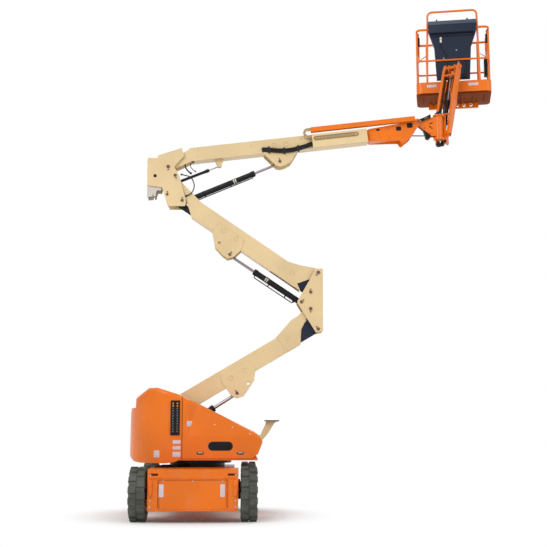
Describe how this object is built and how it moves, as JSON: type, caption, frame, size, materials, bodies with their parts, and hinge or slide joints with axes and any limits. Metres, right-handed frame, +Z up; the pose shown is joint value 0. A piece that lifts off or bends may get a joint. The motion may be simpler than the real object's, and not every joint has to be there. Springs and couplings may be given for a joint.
{
  "type": "articulating boom lift",
  "caption": "Articulating boom lift with its tower, telescoping main boom and jib raised and its work platform turned away",
  "frame": {"origin": "On the ground, under the axis on which the turntable slews.", "axes": "+Z is up. +X is the way the booms reach. The wheels roll along Y, with the steering axle at +Y."},
  "size_m": [5.8166, 2.8741, 8.1243],
  "materials": {
    "paint_lift": "gloss orange paint on the chassis, hoods, fly section, jib and platform",
    "paint_cream": "cream paint on the tower, main boom and boom rest",
    "paint_grey": "dark grey paint",
    "paint_black": "black paint",
    "cast_weight": "painted cast counterweight",
    "rod_chrome": "ground and plated cylinder rods",
    "tyre_rubber": "solid tyre rubber",
    "rim_paint": "painted steel wheels",
    "plastic_black": "hose chain, boxes and covers",
    "battery": "battery cases"
  },
  "bodies": {
    "chassis": {"frame_bay": "paint_lift", "frame_steer_end": "paint_lift", "frame_drive_end": "paint_lift", "bearing_ring": "paint_black", "drive_end_cover": "paint_lift", "drive_axle": "paint_black", "steer_axle": "paint_black"},
    "knuckle_left": {"knuckle_left": "paint_black"},
    "knuckle_right": {"knuckle_right": "paint_black"},
    "tie_rod": {"tie_rod": "paint_black"},
    "wheel_drive_left": {"tyre_drive_left": "tyre_rubber", "rim_drive_left": "rim_paint"},
    "wheel_drive_right": {"tyre_drive_right": "tyre_rubber", "rim_drive_right": "rim_paint"},
    "wheel_steer_left": {"tyre_steer_left": "tyre_rubber", "rim_steer_left": "rim_paint"},
    "wheel_steer_right": {"tyre_steer_right": "tyre_rubber", "rim_steer_right": "rim_paint"},
    "turntable": {"turntable_frame": "paint_lift", "slew_skirt": "paint_black", "counterweight": "cast_weight", "tail_cover": "paint_lift", "battery_packs": "battery", "ground_controls": "plastic_black", "boom_rest": "paint_cream"},
    "hood_near": {"hood_near": "paint_lift"},
    "hood_far": {"hood_far": "paint_lift"},
    "lower_boom": {"lower_boom": "paint_cream"},
    "lower_level_link": {"lower_level_link": "paint_black"},
    "lower_lift_barrel": {"lower_lift_barrel": "paint_black"},
    "lower_lift_rod": {"lower_lift_rod": "rod_chrome"},
    "knee": {"knee": "paint_cream"},
    "mid_boom": {"mid_boom": "paint_cream"},
    "mid_level_link": {"mid_level_link": "paint_black"},
    "mid_lift_barrel": {"mid_lift_barrel": "paint_black"},
    "mid_lift_rod": {"mid_lift_rod": "rod_chrome"},
    "upright": {"upright": "paint_cream"},
    "main_lift_barrel": {"main_lift_barrel": "paint_black"},
    "main_lift_rod": {"main_lift_rod": "rod_chrome"},
    "level_master_barrel": {"level_master_barrel": "paint_black"},
    "level_master_rod": {"level_master_rod": "rod_chrome"},
    "main_boom": {"main_boom": "paint_cream"},
    "hose_carrier": {"hose_carrier": "paint_cream"},
    "fly_section": {"fly_section": "paint_lift"},
    "slave_rod": {"slave_rod": "rod_chrome"},
    "jib_base": {"jib_base": "paint_lift"},
    "jib": {"jib": "paint_lift"},
    "jib_level_link": {"jib_level_link": "paint_black"},
    "jib_lift_barrel": {"jib_lift_barrel": "paint_black"},
    "jib_lift_rod": {"jib_lift_rod": "rod_chrome"},
    "jib_head": {"jib_head": "paint_lift"},
    "gate": {"gate": "paint_lift"},
    "level_head": {"level_head": "paint_lift", "level_lever": "paint_black"},
    "platform": {"platform_floor": "paint_lift", "platform_support": "paint_lift", "guard_rails": "paint_lift", "console": "paint_grey", "document_box": "plastic_black"}
  },
  "joints": [
    {"name": "turntable_swing", "type": "hinge", "parent": "chassis", "child": "turntable", "pos_m": [0, 0, 0.765], "axis": [0, 0, 1], "range_deg": [-90, 270]},
    {"name": "steer", "type": "hinge", "parent": "chassis", "child": "knuckle_left", "pos_m": [-0.59, 1, 0.37], "axis": [0, 0, 1], "range_deg": [-35, 35]},
    {"name": "steer_right", "type": "hinge", "parent": "chassis", "child": "knuckle_right", "pos_m": [0.59, 1, 0.37], "axis": [0, 0, 1], "range_deg": [-36, 36]},
    {"name": "tie_rod_slide", "type": "slide", "parent": "chassis", "child": "tie_rod", "axis": [-1, 0, 0], "range_m": [-0.11398, 0.11398]},
    {"name": "spin_drive_left", "type": "hinge", "parent": "chassis", "child": "wheel_drive_left", "pos_m": [-0.7575, -1, 0.37], "axis": [1, 0, 0], "continuous": true},
    {"name": "spin_drive_right", "type": "hinge", "parent": "chassis", "child": "wheel_drive_right", "pos_m": [0.7575, -1, 0.37], "axis": [1, 0, 0], "continuous": true},
    {"name": "spin_steer_left", "type": "hinge", "parent": "knuckle_left", "child": "wheel_steer_left", "pos_m": [-0.7575, 1, 0.37], "axis": [1, 0, 0], "continuous": true},
    {"name": "spin_steer_right", "type": "hinge", "parent": "knuckle_right", "child": "wheel_steer_right", "pos_m": [0.7575, 1, 0.37], "axis": [1, 0, 0], "continuous": true},
    {"name": "hood_near_hinge", "type": "hinge", "parent": "turntable", "child": "hood_near", "pos_m": [0.316, -0.215, 1.46], "axis": [-0.8947, 0, 0.4466], "range_deg": [0, 75]},
    {"name": "hood_far_hinge", "type": "hinge", "parent": "turntable", "child": "hood_far", "pos_m": [0.316, 0.215, 1.46], "axis": [0.8947, 0, -0.4466], "range_deg": [0, 75]},
    {"name": "lower_lift", "type": "hinge", "parent": "turntable", "child": "lower_boom", "pos_m": [-0.58908, 0, 1.69717], "axis": [0, -1, 0], "range_deg": [-28, 32]},
    {"name": "lower_link_hinge", "type": "hinge", "parent": "turntable", "child": "lower_level_link", "pos_m": [-0.47708, 0, 1.39417], "axis": [0, -1, 0], "range_deg": [-29, 33]},
    {"name": "knee_hinge", "type": "hinge", "parent": "lower_boom", "child": "knee", "pos_m": [1.677, 0, 3.032], "axis": [0, -1, 0], "range_deg": [-33, 29]},
    {"name": "mid_hinge", "type": "hinge", "parent": "knee", "child": "mid_boom", "pos_m": [1.794, 0, 3.582], "axis": [0, -1, 0], "range_deg": [-36.2, 31.8]},
    {"name": "mid_link_hinge", "type": "hinge", "parent": "knee", "child": "mid_level_link", "pos_m": [1.678, 0, 3.285], "axis": [0, -1, 0], "range_deg": [-36.2, 31.8]},
    {"name": "upright_hinge", "type": "hinge", "parent": "mid_boom", "child": "upright", "pos_m": [-0.37935, 0, 5.07012], "axis": [0, -1, 0], "range_deg": [-31.8, 36.2]},
    {"name": "lower_lift_barrel_hinge", "type": "hinge", "parent": "turntable", "child": "lower_lift_barrel", "pos_m": [-0.433, 0, 1.134], "axis": [0, -1, 0], "range_deg": [-24.96, 28.39]},
    {"name": "lower_lift_rod_slide", "type": "slide", "parent": "lower_lift_barrel", "child": "lower_lift_rod", "axis": [0.8449, 0, 0.5349], "range_m": [-0.26142, 0.29805]},
    {"name": "mid_lift_barrel_hinge", "type": "hinge", "parent": "knee", "child": "mid_lift_barrel", "pos_m": [1.539, 0, 3.136], "axis": [0, -1, 0], "range_deg": [-34.82, 30.59]},
    {"name": "mid_lift_rod_slide", "type": "slide", "parent": "mid_lift_barrel", "child": "mid_lift_rod", "axis": [-0.8316, 0, 0.5554], "range_m": [-0.26577, 0.30302]},
    {"name": "main_lift", "type": "hinge", "parent": "upright", "child": "main_boom", "pos_m": [-0.48735, 0, 5.20512], "axis": [0, -1, 0], "range_deg": [-10.9, 56.1]},
    {"name": "main_lift_barrel_hinge", "type": "hinge", "parent": "upright", "child": "main_lift_barrel", "pos_m": [-0.26735, 0, 4.68012], "axis": [0, -1, 0], "range_deg": [-10.74, 51.12]},
    {"name": "main_lift_rod_slide", "type": "slide", "parent": "main_lift_barrel", "child": "main_lift_rod", "axis": [0.9212, 0, 0.389], "range_m": [-0.10402, 0.51464]},
    {"name": "level_master_barrel_hinge", "type": "hinge", "parent": "upright", "child": "level_master_barrel", "pos_m": [-0.35035, 0, 4.99412], "axis": [0, -1, 0], "range_deg": [-11.28, 53.92]},
    {"name": "level_master_rod_slide", "type": "slide", "parent": "level_master_barrel", "child": "level_master_rod", "axis": [0.9269, 0, 0.3754], "range_m": [-0.05102, 0.24185]},
    {"name": "fly_slide", "type": "slide", "parent": "main_boom", "child": "fly_section", "axis": [0.9928, 0, 0.1201], "range_m": [0, 1.1]},
    {"name": "hose_carrier_slide", "type": "slide", "parent": "main_boom", "child": "hose_carrier", "axis": [0.9928, 0, 0.1201], "range_m": [-0.005, 0.555]},
    {"name": "level_head_hinge", "type": "hinge", "parent": "fly_section", "child": "level_head", "pos_m": [3.37426, 0, 5.96555], "axis": [0, -1, 0], "range_deg": [-57.1, 11.9]},
    {"name": "slave_rod_slide", "type": "slide", "parent": "fly_section", "child": "slave_rod", "axis": [1, 0, 0], "range_m": [-0.22628, 0.04799]},
    {"name": "jib_swing", "type": "hinge", "parent": "level_head", "child": "jib_base", "pos_m": [3.7, 0, 5.735], "axis": [0, 0, 1], "range_deg": [-144, 36]},
    {"name": "jib_lift", "type": "hinge", "parent": "jib_base", "child": "jib", "pos_m": [3.77053, 0.09708, 5.8], "axis": [0.809, -0.5878, 0], "range_deg": [-124.5, 5.5]},
    {"name": "jib_link_hinge", "type": "hinge", "parent": "jib_base", "child": "jib_level_link", "pos_m": [3.78229, 0.11326, 5.68], "axis": [0.809, -0.5878, 0], "range_deg": [-125.5, 6.5]},
    {"name": "jib_head_hinge", "type": "hinge", "parent": "jib", "child": "jib_head", "pos_m": [4.04637, 0.47674, 7.05514], "axis": [0.809, -0.5878, 0], "range_deg": [-6.5, 125.5]},
    {"name": "jib_lift_barrel_hinge", "type": "hinge", "parent": "jib_base", "child": "jib_lift_barrel", "pos_m": [3.78229, 0.11326, 5.68], "axis": [0.809, -0.5878, 0], "range_deg": [-123.11, 6.39]},
    {"name": "jib_lift_rod_slide", "type": "slide", "parent": "jib_lift_barrel", "child": "jib_lift_rod", "axis": [0.179, 0.2464, 0.9525], "range_m": [-0.20839, 0.01398]},
    {"name": "platform_rotate", "type": "hinge", "parent": "jib_head", "child": "platform", "pos_m": [4.07031, 0.50968, 6.707], "axis": [0, 0, -1], "range_deg": [-65, 115]},
    {"name": "gate_hinge", "type": "hinge", "parent": "platform", "child": "gate", "pos_m": [3.64235, 1.37392, 6.967], "axis": [0, 0, 1], "range_deg": [0, 85]}
  ],
  "couplings": [
    {"joint": "steer_right", "follows": "steer", "ratio": 1},
    {"joint": "tie_rod_slide", "follows": "steer", "m_per_rad": 0.1784},
    {"joint": "lower_link_hinge", "follows": "lower_lift", "ratio": 1},
    {"joint": "knee_hinge", "follows": "lower_lift", "ratio": -1},
    {"joint": "mid_hinge", "follows": "lower_lift", "ratio": -1.1},
    {"joint": "mid_link_hinge", "follows": "lower_lift", "ratio": -1.1},
    {"joint": "upright_hinge", "follows": "lower_lift", "ratio": 1.1},
    {"joint": "lower_lift_barrel_hinge", "follows": "lower_lift", "ratio": 0.8559},
    {"joint": "lower_lift_rod_slide", "follows": "lower_lift", "m_per_rad": 0.5247},
    {"joint": "mid_lift_barrel_hinge", "follows": "lower_lift", "ratio": -1.0568},
    {"joint": "mid_lift_rod_slide", "follows": "lower_lift", "m_per_rad": 0.5336},
    {"joint": "main_lift_barrel_hinge", "follows": "main_lift", "ratio": 0.8934},
    {"joint": "main_lift_rod_slide", "follows": "main_lift", "m_per_rad": 0.5205},
    {"joint": "level_master_barrel_hinge", "follows": "main_lift", "ratio": 0.9434},
    {"joint": "level_master_rod_slide", "follows": "main_lift", "m_per_rad": 0.2419},
    {"joint": "hose_carrier_slide", "follows": "fly_slide", "ratio": 0.5},
    {"joint": "level_head_hinge", "follows": "main_lift", "ratio": -1},
    {"joint": "slave_rod_slide", "follows": "main_lift", "m_per_rad": -0.226},
    {"joint": "jib_link_hinge", "follows": "jib_lift", "ratio": 1},
    {"joint": "jib_head_hinge", "follows": "jib_lift", "ratio": -1},
    {"joint": "jib_lift_barrel_hinge", "follows": "jib_lift", "ratio": 0.9808},
    {"joint": "jib_lift_rod_slide", "follows": "jib_lift", "m_per_rad": 0.0936}
  ]
}
